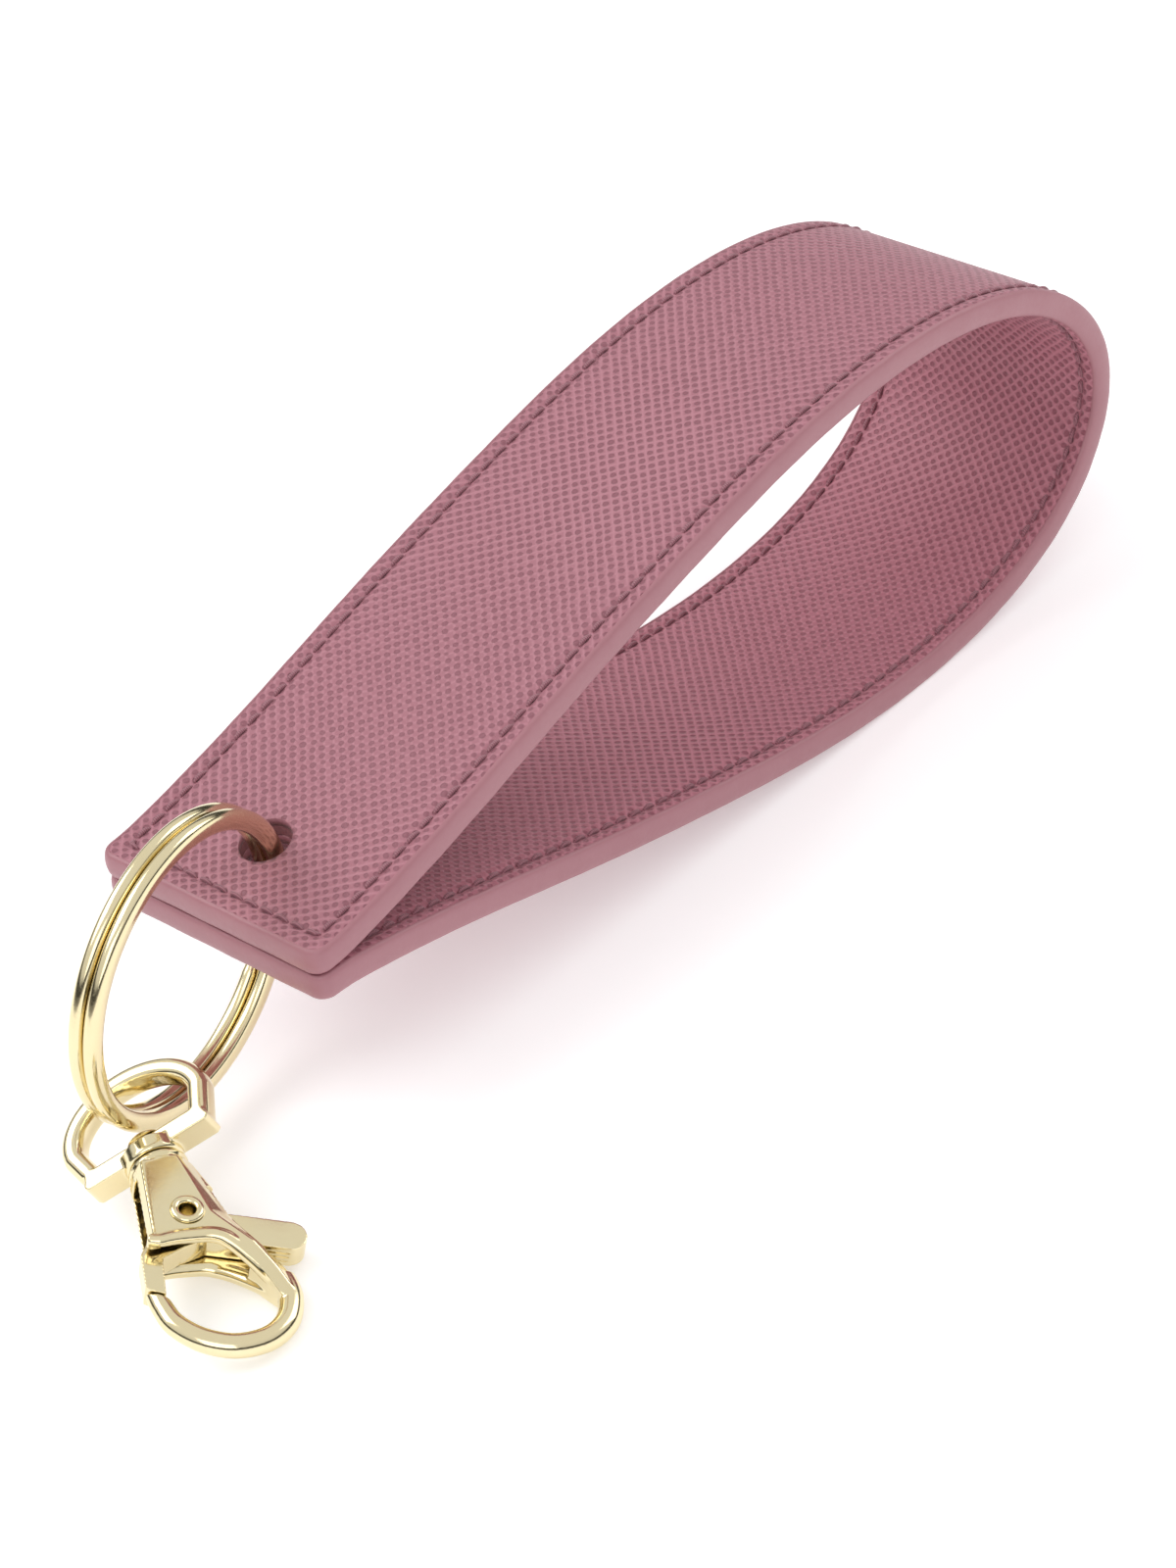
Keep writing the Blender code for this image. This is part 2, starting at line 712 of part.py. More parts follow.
def build_trigger(parent):
    """The trigger, bored for the rivet and recessed for the spring."""
    shape = prism(trigger_outline(), TRIGGER_BOTTOM, TRIGGER_THICK_TOP)
    trigger = finish("trigger", shape, "pale_gold", parent)
    shank = RIVET_SHANK + PIVOT_CLEARANCE
    combine(trigger, bore_tool("trigger_bore_tool", shank, -4.0, 4.0, parent, "Z"), "DIFFERENCE")
    recess = SPRING_RADIUS + SPRING_WIRE + 0.35
    combine(trigger, bore_tool("spring_recess_tool", recess, TRIGGER_TOP, 4.0, parent, "Z", 24), "DIFFERENCE")
    return trigger


def build_trigger_rivet(parent):
    """A hollow rivet through both plates, with a rolled head on each."""
    face = HOUSING_HALF + 0.05
    top = face + RIVET_HEAD_THICK
    profile = [
        (-top, RIVET_BORE + 0.15),
        (-top, RIVET_HEAD - 0.3),
        (-face, RIVET_HEAD),
        (-face, RIVET_SHANK),
        (face, RIVET_SHANK),
        (face, RIVET_HEAD),
        (top, RIVET_HEAD - 0.3),
        (top, RIVET_BORE + 0.15),
        (top - 0.2, RIVET_BORE),
        (-top + 0.2, RIVET_BORE),
    ]
    return finish("trigger_rivet", turned(profile, 20, "Z"), "pale_gold", parent)


def build_trigger_spring(parent):
    """A torsion spring coiled on the rivet, between the trigger and the front plate."""
    start = TRIGGER_TOP + SPRING_WIRE + 0.06
    steps = 14
    count = int(SPRING_TURNS * steps)
    turn = 2 * math.pi * SPRING_TURNS
    path = []
    for i in range(count + 1):
        angle = SPRING_START_ANGLE + turn * i / count
        lift = start + SPRING_PITCH * SPRING_TURNS * i / count
        path.append(Vector((SPRING_RADIUS * math.cos(angle), SPRING_RADIUS * math.sin(angle), lift)))
    sides = 6
    rings = []
    for i, point in enumerate(path):
        along = (path[min(i + 1, count)] - path[max(i - 1, 0)]).normalized()
        out = Vector((point.x, point.y, 0)).normalized()
        up = along.cross(out)
        ring = []
        for k in range(sides):
            angle = 2 * math.pi * k / sides
            ring.append(point + out * (SPRING_WIRE * math.cos(angle)) + up * (SPRING_WIRE * math.sin(angle)))
        rings.append(ring)
    shape = bmesh.new()
    loft(shape, rings)
    return finish("trigger_spring", shape, "spring_steel", parent)


def centre_on_footprint(top_frames):
    """Moves the model so that the middle of its footprint is over the origin and its lowest point is at Z = 0."""
    bpy.context.view_layer.update()
    graph = bpy.context.evaluated_depsgraph_get()
    points = []
    for made in bpy.context.scene.objects:
        if made.type == "MESH" and not made.hide_render:
            shown = made.evaluated_get(graph)
            mesh = shown.to_mesh()
            points += [shown.matrix_world @ vert.co for vert in mesh.vertices]
            shown.to_mesh_clear()
    low = [min(point[i] for point in points) for i in range(3)]
    high = [max(point[i] for point in points) for i in range(3)]
    offset = Vector(((low[0] + high[0]) / 2, (low[1] + high[1]) / 2, low[2]))
    for frame in top_frames:
        frame.location -= offset


def main():
    clear_scene()
    strap = build_strap()
    ring_pivot = empty("ring_yaw_axis", (HOLE_ALONG, HOLE_SIDE, LOOP_HALF_HEIGHT + RING_RISE), (0, 0, 0))
    ring_frame = empty("ring_frame", (0, 0, 0), (0, 0, 0), ring_pivot)
    ring_frame.rotation_euler = (RING_LEAN, RING_DROOP, RING_YAW)
    build_ring(ring_frame)
    clasp = empty("clasp_frame", CLASP_BASE, (CLASP_ROLL, CLASP_PITCH, CLASP_HEADING))
    eye = empty("eye_frame", (0, 0, 0), (EYE_ROLL, 0, 0), clasp)
    build_eye(eye)
    build_swivel_rivet(clasp)
    build_clasp_body(clasp)
    pivot = empty("trigger_pivot", (*PIVOT, 0), (0, 0, 0), clasp)
    build_trigger(pivot)
    build_trigger_rivet(pivot)
    build_trigger_spring(pivot)
    centre_on_footprint([strap, ring_pivot, clasp])


main()
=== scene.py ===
"""Looks for the wristlet strap key fob: grained strap with its stitches, gold split ring and swivel clasp."""

import json
import math

import bmesh
import bpy
from mathutils import Euler, Matrix, Vector


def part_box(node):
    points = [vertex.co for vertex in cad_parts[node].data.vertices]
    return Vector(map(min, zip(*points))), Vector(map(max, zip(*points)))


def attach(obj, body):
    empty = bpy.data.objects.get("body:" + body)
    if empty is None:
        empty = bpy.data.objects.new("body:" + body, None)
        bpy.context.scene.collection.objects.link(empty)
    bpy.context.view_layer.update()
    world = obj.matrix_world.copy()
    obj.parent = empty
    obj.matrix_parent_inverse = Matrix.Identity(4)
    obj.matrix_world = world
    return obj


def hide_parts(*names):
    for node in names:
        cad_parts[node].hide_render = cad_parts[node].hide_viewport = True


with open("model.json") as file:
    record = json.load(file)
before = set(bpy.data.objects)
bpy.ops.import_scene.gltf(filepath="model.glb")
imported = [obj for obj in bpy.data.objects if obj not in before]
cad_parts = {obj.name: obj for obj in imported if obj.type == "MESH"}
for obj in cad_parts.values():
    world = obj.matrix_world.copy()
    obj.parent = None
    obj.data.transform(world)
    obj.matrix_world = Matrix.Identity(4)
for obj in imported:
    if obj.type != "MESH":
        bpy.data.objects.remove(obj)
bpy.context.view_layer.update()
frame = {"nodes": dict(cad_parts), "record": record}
MM = 0.001

# Strap, in millimetres, as the CAD has it
STRAP_WIDTH = 30.0
LAYER = 2.9
HALF = LAYER / 2
SKIN = 0.9
PAINT = 0.55
EDGE = STRAP_WIDTH / 2 - PAINT
CORNER = 1.3
ROW_INSET = 2.2
END_ROW_INSET = 2.7
STITCH_PITCH = 2.05
STITCH_LENGTH = 1.7
STITCH_RADIUS = 0.23
HOLE_ALONG = 8.4
HOLE_SIDE = 0.5
HOLE_RADIUS = 2.7
END_HEIGHT = LAYER / 2 + 0.06
LOOP_CONTROL = [
    (-3.9, END_HEIGHT),
    (-0.9, END_HEIGHT),
    (2.7, END_HEIGHT),
    (8.0, 2.5),
    (20.0, 5.2),
    (38.0, 10.5),
    (56.0, 14.8),
    (72.0, 18.1),
    (87.0, 19.3),
    (101.3, 17.9),
    (113.5, 13.0),
    (120.5, 4.4),
]

# Ring, and the frames of the ring, clasp and eye
RING_RADIUS = 16.0
RING_RADIAL = 2.1
RING_AXIAL = 1.55
RING_GAP = 0.1
RING_TURN = (math.radians(6.8), math.radians(-3.4), math.radians(9.9))
COIL_POWER = 0.85
RING_STEP_ANGLE = math.radians(335)
RING_STEP_HALF = math.radians(11)
RING_END_GAP = math.radians(3)
CLASP_TURN = (math.radians(-13.0), math.radians(11.7), math.radians(-117.3))
EYE_ROLL = math.radians(33.5)

# Eye and clasp
EYE_BASE_HALF = 6.6
EYE_BASE_THICK = 1.9
EYE_LENGTH = 10.6
EYE_HALF = 7.9
EYE_BAR = 1.05
EYE_DEPTH = 1.5
NECK_RADIUS = 2.9
HOUSING_START = 1.9
HOUSING_HALF = 2.75
POCKET_HALF = 1.55
HOUSING_LEFT = [(HOUSING_START, -2.9), (10.5, -4.35)]
HOUSING_CORNER = (11.0, -3.9)
HOUSING_RIM = [(11.4, -2.4), (11.5, -0.8), (11.9, 1.7), (13.1, 3.1), (16.0, 4.7), (19.0, 5.8)]
HOUSING_WALL = [(19.0, 8.1), (16.2, 7.4), (13.1, 6.2), (9.2, 4.9), (HOUSING_START, 2.9)]
PLATE_RIGHT = [(19.0, 7.2), (16.2, 6.2), (13.1, 4.6), (9.2, 2.2), (HOUSING_START, 1.3)]
PLATE_LEFT = [(HOUSING_START, -2.2), (10.5, -3.75)]
POCKET = [
    (2.9, -1.7),
    (3.6, -7.0),
    (24.0, -7.0),
    (24.0, 2.0),
    (15.0, 3.6),
    (14.4, 9.0),
    (5.4, 9.0),
    (5.4, 2.7),
    (2.9, 1.8),
]
HOUSING_CORNER_RADIUS = 0.62
SWIVEL_BORE = 1.25
COLLAR = [
    (0.95, 0.2),
    (0.95, 2.6),
    (1.15, 2.9),
    (1.45, 2.95),
    (1.7, 2.75),
    (2.0, 2.65),
    (2.5, 2.6),
    (2.5, 0.2),
]
TAPER_START = 13.6
TAPER_END = 18.8
PIVOT = Vector((8.7, 0.1, 0))
HOOK_ROD = 1.2
HOOK_THINNING = 0.2
HOOK_LINE = [
    (16.6, 6.9),
    (18.9, 6.9),
    (21.4, 5.7),
    (22.85, 3.4),
    (22.9, 0.3),
    (21.5, -2.4),
    (19.3, -4.2),
    (17.2, -4.75),
    (15.2, -4.9),
]
GATE_REACH = 8.8
GATE_CLEARANCE = 0.15
GATE_OUTER = [(1.2, -3.9), (2.7, -5.2)]
GATE_INNER = [(3.7, -3.4), (2.9, -1.2)]
GATE_TIP_ANGLES = (math.radians(-42.5), math.radians(-29.5))
TIP_WINDOW = [(13.4, -8.0), (21.4, -8.0), (21.4, -1.0), (13.4, -1.0)]
CAM_RADIUS = 3.0
CAM_ANGLES = (math.radians(120), math.radians(240))
LEVER_ANGLE = math.radians(66)
LEVER_LENGTH = 9.6
LEVER_HALF = 1.65
LEVER_ROOT = 2.2
PIVOT_BORE = 1.23
SPRING_RECESS = 2.24
RIM_BEAD_INSET = 0.35
CAST_VOXEL = 0.12

# The inner face's copy of the leather is painted a little lighter than the outer face's: painted light that
# makes up for the shade inside the loop
INNER_FACE_PAINTED_LIGHT = 1.1

# The pale floor glows a little: painted light that lightens the cast shadows and lights the strap from below
FLOOR_GLOW = 0.33

# Camera, from the middle of the strap's stitched ends, in metres, and its directions
CAMERA_PLACE = (-0.19631, -0.26816, 0.27199)
CAMERA_RIGHT = (0.66149, -0.73851, -0.13048)
CAMERA_UP = (0.51551, 0.3214, 0.79433)
CAMERA_LENS = 101.2
CAMERA_SENSOR = 36.0
CAMERA_DROP = 0.0196

# Lamps: place in metres, size, and power in watts
LAMPS = {
    "key": ((-0.35, 0.45, 0.75), (0.7, 0.5), 3.0),
    "fill": ((-0.6, -0.55, 0.5), (0.6, 0.5), 1.2),
    "side": ((0.7, -0.25, 0.45), (0.4, 0.5), 1.2),
}

# The studio's brightness by height, with the dark band that gives the gold its contrast
SKY_STOPS = [(0.0, 0.5), (0.14, 0.05), (0.26, 0.06), (0.36, 0.9), (0.7, 1.0)]
SKY_STRENGTH = 0.85


# Nodes of a material


class Shader:
    """A new material and the short words that wire it."""

    def __init__(self, name):
        self.material = bpy.data.materials.new(name)
        self.material.use_nodes = True
        self.tree = self.material.node_tree
        self.surface = self.tree.nodes["Principled BSDF"]

    def node(self, kind, **inputs):
        made = self.tree.nodes.new(kind)
        for key, value in inputs.items():
            self.put(made.inputs[key], value)
        return made

    def put(self, socket, value):
        if isinstance(value, bpy.types.NodeSocket):
            self.tree.links.new(value, socket)
        else:
            socket.default_value = value

    def maths(self, operation, *values):
        made = self.tree.nodes.new("ShaderNodeMath")
        made.operation = operation
        for socket, value in zip(made.inputs, values):
            self.put(socket, value)
        return made.outputs[0]

    def ramp(self, value, stops):
        made = self.tree.nodes.new("ShaderNodeValToRGB")
        points = made.color_ramp.elements
        while len(points) < len(stops):
            points.new(0.5)
        for point, (at, colour) in zip(points, stops):
            point.position = at
            point.color = (*colour, 1.0) if isinstance(colour, tuple) else (colour, colour, colour, 1.0)
        self.put(made.inputs[0], value)
        return made.outputs[0]

    def mix(self, share, first, second):
        made = self.tree.nodes.new("ShaderNodeMix")
        made.data_type = "RGBA"
        self.put(made.inputs[0], share)
        self.put(made.inputs[6], first)
        self.put(made.inputs[7], second)
        return made.outputs[2]

    def noise(self, vector, scale, detail=2.0):
        made = self.node("ShaderNodeTexNoise", Vector=vector, Scale=scale, Detail=detail)
        return made.outputs["Fac"]

    def bump(self, height, strength, distance):
        made = self.node("ShaderNodeBump", Height=height, Strength=strength, Distance=distance)
        self.put(self.surface.inputs["Normal"], made.outputs[0])


def srgb(red, green, blue):
    """A screen colour of 0 to 255 as linear light."""
    return tuple(((v / 255 + 0.055) / 1.055) ** 2.4 for v in (red, green, blue))


def saffiano(name, lift=1.0):
    """Cross-hatched grain pressed into pink leather: a net of raised lines with round pits between them."""
    s = Shader(name)
    grid = s.node("ShaderNodeUVMap").outputs[0]
    warp = s.node("ShaderNodeTexNoise", Vector=grid, Scale=0.55, Detail=1.0).outputs["Color"]
    shift = s.node("ShaderNodeVectorMath")
    shift.operation = "SCALE"
    s.put(shift.inputs[0], warp)
    shift.inputs["Scale"].default_value = 0.35
    moved = s.node("ShaderNodeVectorMath")
    moved.operation = "ADD"
    s.put(moved.inputs[0], grid)
    s.put(moved.inputs[1], shift.outputs[0])
    turned = s.node("ShaderNodeMapping", Vector=moved.outputs[0])
    turned.inputs["Rotation"].default_value = (0, 0, math.radians(47))
    cells = s.node("ShaderNodeTexVoronoi", Vector=turned.outputs[0], Scale=1.0, Randomness=0.14)
    size = s.noise(grid, 0.8)
    pit = s.maths("SUBTRACT", cells.outputs["Distance"], s.maths("MULTIPLY", size, 0.14))
    pit_mask = s.ramp(pit, [(0.19, 1.0), (0.31, 0.0)])
    split = s.node("ShaderNodeSeparateXYZ", Vector=turned.outputs[0])
    lines = []
    for axis in ("X", "Y"):
        lines.append(s.maths("PINGPONG", s.maths("MULTIPLY", split.outputs[axis], 2.04), 1.0))
    ridge = s.maths("MAXIMUM", *lines)
    fine = s.noise(grid, 6.0, 4.0)
    broad = s.noise(grid, 0.06)
    # lift brightens all three colours; the inner face's copy uses it as painted light against the shade
    # inside the loop
    light = srgb(*(v * lift for v in (182, 123, 135)))
    middle = srgb(*(v * lift for v in (165, 106, 118)))
    pit_painted_shade = srgb(*(v * lift for v in (124, 69, 81)))
    # The raised lines are mixed towards the lighter colour: a painted highlight on the ridges of the grain
    base = s.mix(s.ramp(ridge, [(0.55, 0.0), (0.95, 1.0)]), (*middle, 1.0), (*light, 1.0))
    # The pits are mixed towards the pit colour: painted shade in the hollows of the grain
    base = s.mix(s.maths("MULTIPLY", pit_mask, 0.8), base, (*pit_painted_shade, 1.0))
    base = s.mix(s.maths("MULTIPLY", fine, 0.18), base, (*srgb(150, 94, 106), 1.0))
    base = s.mix(s.maths("MULTIPLY", broad, 0.16), base, (*srgb(184, 130, 140), 1.0))
    s.put(s.surface.inputs["Base Color"], base)
    s.put(s.surface.inputs["Roughness"], s.maths("ADD", s.maths("MULTIPLY", fine, 0.2), 0.4))
    s.surface.inputs["Sheen Weight"].default_value = 0.08
    s.surface.inputs["Specular IOR Level"].default_value = 0.45
    height = s.maths("SUBTRACT", s.maths("MULTIPLY", ridge, 0.5), s.maths("MULTIPLY", pit_mask, 0.9))
    height = s.maths("ADD", height, s.maths("MULTIPLY", fine, 0.15))
    s.bump(height, 0.8, 0.00012)
    return s.material


def edge_paint():
    s = Shader("edge_paint_looks")
    spot = s.node("ShaderNodeTexCoord").outputs["Object"]
    broad = s.noise(spot, 90.0)
    fine = s.noise(spot, 2200.0, 4.0)
    base = s.mix(broad, (*srgb(166, 112, 121), 1.0), (*srgb(174, 121, 129), 1.0))
    base = s.mix(s.maths("MULTIPLY", fine, 0.2), base, (*srgb(160, 106, 116), 1.0))
    s.put(s.surface.inputs["Base Color"], base)
    s.put(s.surface.inputs["Roughness"], s.maths("ADD", s.maths("MULTIPLY", fine, 0.25), 0.28))
    s.bump(s.maths("ADD", s.maths("MULTIPLY", fine, 0.3), broad), 0.35, 0.0002)
    return s.material


def thread():
    s = Shader("thread_looks")
    spot = s.node("ShaderNodeTexCoord").outputs["Object"]
    twist = s.node("ShaderNodeTexWave", Vector=spot, Scale=1500.0, Distortion=1.5)
    # Darker and lighter bands along the twist: painted shade in the grooves between the plies and painted
    # light on their crests
    base = s.mix(twist.outputs["Fac"], (*srgb(134, 82, 94), 1.0), (*srgb(166, 112, 122), 1.0))
    s.put(s.surface.inputs["Base Color"], base)
    s.surface.inputs["Roughness"].default_value = 0.55
    s.surface.inputs["Sheen Weight"].default_value = 0.2
    s.bump(twist.outputs["Fac"], 0.5, 0.00006)
    return s.material


def core_board():
    s = Shader("board_looks")
    spot = s.node("ShaderNodeTexCoord").outputs["Object"]
    fibre = s.noise(spot, 3000.0, 5.0)
    base = s.mix(fibre, (*srgb(120, 70, 80), 1.0), (*srgb(160, 105, 112), 1.0))
    s.put(s.surface.inputs["Base Color"], base)
    s.surface.inputs["Roughness"].default_value = 0.85
    s.bump(fibre, 0.6, 0.0001)
    return s.material


def plated(name, colour, rough):
    """Polished plating with faint handling marks and slightly uneven gloss."""
    s = Shader(name)
    spot = s.node("ShaderNodeTexCoord").outputs["Object"]
    broad = s.noise(spot, 220.0, 3.0)
    scratches = s.node("ShaderNodeTexNoise", Vector=spot, Scale=2600.0, Detail=5.0, Distortion=2.0)
    warm = tuple(v * k for v, k in zip(colour, (0.97, 0.92, 0.82)))
    s.put(s.surface.inputs["Base Color"], s.mix(broad, (*colour, 1.0), (*warm, 1.0)))
    s.surface.inputs["Metallic"].default_value = 1.0
    marks = s.ramp(scratches.outputs["Fac"], [(0.5, 0.0), (0.75, 1.0)])
    gloss = s.maths("ADD", s.maths("MULTIPLY", marks, 0.1), s.maths("MULTIPLY", broad, 0.06))
    s.put(s.surface.inputs["Roughness"], s.maths("ADD", gloss, rough))
    s.bump(s.maths("ADD", broad, s.maths("MULTIPLY", marks, 0.1)), 0.12, 0.00008)
    return s.material


def floor_looks():
    s = Shader("floor_looks")
    spot = s.node("ShaderNodeTexCoord").outputs["Object"]
    soft = s.noise(spot, 3.0)
    s.put(s.surface.inputs["Base Color"], s.mix(soft, (0.86, 0.86, 0.865, 1.0), (0.9, 0.9, 0.905, 1.0)))
    s.surface.inputs["Roughness"].default_value = 0.6
    # Emission makes the floor glow: painted light that lifts the shadows and lights the strap from below
    s.surface.inputs["Emission Color"].default_value = (1.0, 1.0, 1.0, 1.0)
    s.surface.inputs["Emission Strength"].default_value = FLOOR_GLOW
    s.surface.inputs["Specular IOR Level"].default_value = 0.2
    return s.material


# Mesh helpers, in millimetres


def skinned(rings, closed=False, shape=None):
    """Faces between rings of points: a closed hoop, or a rod with both ends capped."""
    shape = shape or bmesh.new()
    rows = [[shape.verts.new(point) for point in ring] for ring in rings]
    count = len(rows[0])
    for row, after in zip(rows, rows[1:] + (rows[:1] if closed else [])):
        for i in range(count):
            j = (i + 1) % count
            shape.faces.new((row[i], row[j], after[j], after[i]))
    if not closed:
        shape.faces.new(rows[0][::-1])
        shape.faces.new(rows[-1])
    return shape


def prism(outline, low, high):
    return skinned([[(x, y, z) for x, y in outline] for z in (low, high)])


def turned(profile, sides=64, axis="X"):
    rings = []
    for i in range(sides):
        c, s = math.cos(2 * math.pi * i / sides), math.sin(2 * math.pi * i / sides)
        if axis == "X":
            rings.append([(along, radius * c, radius * s) for along, radius in profile])
        else:
            rings.append([(radius * c, radius * s, along) for along, radius in profile])
    shape = skinned(rings, closed=True)
    bmesh.ops.remove_doubles(shape, verts=shape.verts, dist=1e-5)
    return shape


def bore(radius, low, high, sides, axis="X"):
    """The round cutter of a bore."""
    return turned([(low, 0.0), (low, radius), (high, radius), (high, 0.0)], sides, axis)


def arc(centre, radius, start, end, count):
    angles = [start + (end - start) * i / (count - 1) for i in range(count)]
    return [(centre[0] + radius * math.cos(a), centre[1] + radius * math.sin(a)) for a in angles]


def rod(path, wide, deep, sides=24, power=1.0):
    """A rod along a flat path, its section an ellipse, or squarer where power is under 1."""
    rings = []
    for i, point in enumerate(path):
        along = (path[min(i + 1, len(path) - 1)] - path[max(i - 1, 0)]).normalized()
        out = Vector((along.y, -along.x, 0))
        ring = []
        for k in range(sides):
            a = 2 * math.pi * (k + 0.5) / sides
            c = math.copysign(abs(math.cos(a)) ** power, math.cos(a))
            s = math.copysign(abs(math.sin(a)) ** power, math.sin(a))
            ring.append(point + out * (wide * c) + Vector((0, 0, deep * s)))
        rings.append(ring)
    return skinned(rings)


def smooth_path(points, per_span=8):
    """A Catmull-Rom curve through flat points."""
    padded = [points[0], *points, points[-1]]
    found = []
    for i in range(len(points) - 1):
        a, b, c, d = (Vector((*p, 0.0)) for p in padded[i : i + 4])
        for k in range(per_span):
            t = k / per_span
            square = (2 * a - 5 * b + 4 * c - d) * t**2
            cube = (3 * b - a - 3 * c + d) * t**3
            found.append(0.5 * (2 * b + (c - a) * t + square + cube))
    return found + [Vector((*points[-1], 0.0))]


def tube(path, radii, sides):
    """A round tube along a path, with its own radius at each point."""
    rings = []
    for i, (point, radius) in enumerate(zip(path, radii)):
        along = (path[min(i + 1, len(path) - 1)] - path[max(i - 1, 0)]).normalized()
        out = along.cross(Vector((0, 0, 1))).normalized()
        up = out.cross(along)
        angles = [2 * math.pi * k / sides for k in range(sides)]
        rings.append([point + out * (radius * math.cos(a)) + up * (radius * math.sin(a)) for a in angles])
    return skinned(rings)


def mesh_object(name, shape, smooth_angle=40):
    """A new object from a bmesh in millimetres, facing outwards, still in millimetres."""
    bmesh.ops.recalc_face_normals(shape, faces=shape.faces)
    if shape.calc_volume(signed=True) < 0:
        bmesh.ops.reverse_faces(shape, faces=shape.faces)
    mesh = bpy.data.meshes.new(name)
    shape.to_mesh(mesh)
    shape.free()
    mesh.shade_smooth()
    mesh.set_sharp_from_angle(angle=math.radians(smooth_angle))
    made = bpy.data.objects.new(name, mesh)
    bpy.context.scene.collection.objects.link(made)
    return made


def baked(obj):
    """Applies every modifier and removes the tools that they used."""
    graph = bpy.context.evaluated_depsgraph_get()
    mesh = bpy.data.meshes.new_from_object(obj.evaluated_get(graph))
    tools = [m.object for m in obj.modifiers if m.type == "BOOLEAN"]
    obj.modifiers.clear()
    obj.data = mesh
    for tool in tools:
        bpy.data.objects.remove(tool)
    return obj


def combined(target, shape, operation):
    tool = mesh_object(target.name + "_tool", shape)
    modifier = target.modifiers.new("combine", "BOOLEAN")
    modifier.operation = operation
    modifier.solver = "EXACT"
    modifier.object = tool
    return target


def cast(obj, voxel=CAST_VOXEL, rounds=5):
    """Remeshes finely and smooths, so that corners have the small radii of a polished casting."""
    remesh = obj.modifiers.new("remesh", "REMESH")
    remesh.mode = "VOXEL"
    remesh.voxel_size = voxel
    remesh.adaptivity = 0
    soften = obj.modifiers.new("soften", "SMOOTH")
    soften.factor = 0.5
    soften.iterations = rounds
    baked(obj)
    obj.data.shade_smooth()
    return obj


def placed(obj, matrix, looks, body, *replaced):
    """Scales to metres, moves into the row frame, and rides the body in place of CAD nodes."""
    obj.data.transform(matrix @ Matrix.Scale(MM, 4))
    obj.data.materials.clear()
    obj.data.materials.append(looks)
    if replaced:
        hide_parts(*replaced)
    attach(obj, body)
    return obj


# The strap


def spline_point(control, t):
    """A point of the uniform cubic B-spline; t counts spans."""
    span = min(int(t), len(control) - 4)
    u = t - span
    weights = (
        (1 - u) ** 3 / 6,
        (3 * u**3 - 6 * u**2 + 4) / 6,
        (-3 * u**3 + 3 * u**2 + 3 * u + 1) / 6,
        u**3 / 6,
    )
    points = control[span : span + 4]
    return tuple(sum(w * p[i] for w, p in zip(weights, points)) for i in range(2))


class Loop:
    """The loop's centre line by length; a place is (s along, y across, t through the thickness)."""

    def __init__(self):
        control = LOOP_CONTROL + [(x, -z) for x, z in reversed(LOOP_CONTROL)]
        steps = 60 * (len(control) - 3)
        self.line = [Vector(spline_point(control, i / 60)) for i in range(steps + 1)]
        self.at = [0.0]
        for a, b in zip(self.line, self.line[1:]):
            self.at.append(self.at[-1] + (b - a).length)
        self.length = self.at[-1]

    def place(self, s, y, t):
        low_index, high_index = 0, len(self.at) - 1
        while high_index - low_index > 1:
            middle = (low_index + high_index) // 2
            if self.at[middle] <= s:
                low_index = middle
            else:
                high_index = middle
        high = low_index + 1
        share = (s - self.at[low_index]) / (self.at[high] - self.at[low_index])
        point = self.line[low_index].lerp(self.line[high], share)
        before = self.line[max(low_index - 1, 0)].lerp(self.line[low_index], share)
        after = self.line[high].lerp(self.line[min(high + 1, len(self.line) - 1)], share)
        along = (after - before).normalized()
        return Vector((point.x - along.y * t, y, point.y + along.x * t))


def graded(length, edge_zone, fine, coarse):
    """Places from 0 to length, close together near both ends."""
    near = [i * fine for i in range(int(edge_zone / fine) + 1)]
    inner = length - 2 * near[-1]
    count = max(1, int(inner / coarse))
    middle = [near[-1] + inner * i / count for i in range(1, count)]
    return near + middle + [length - v for v in reversed(near)]


def row_distance(loop, s, y):
    """How far a place is from the stitch row, a rectangle around the strap."""
    from_end = min(s, loop.length - s) - END_ROW_INSET
    from_side = STRAP_WIDTH / 2 - ROW_INSET - abs(y)
    if from_end > 0 and from_side > 0:
        return min(from_end, from_side)
    return math.hypot(min(from_end, 0), min(from_side, 0))


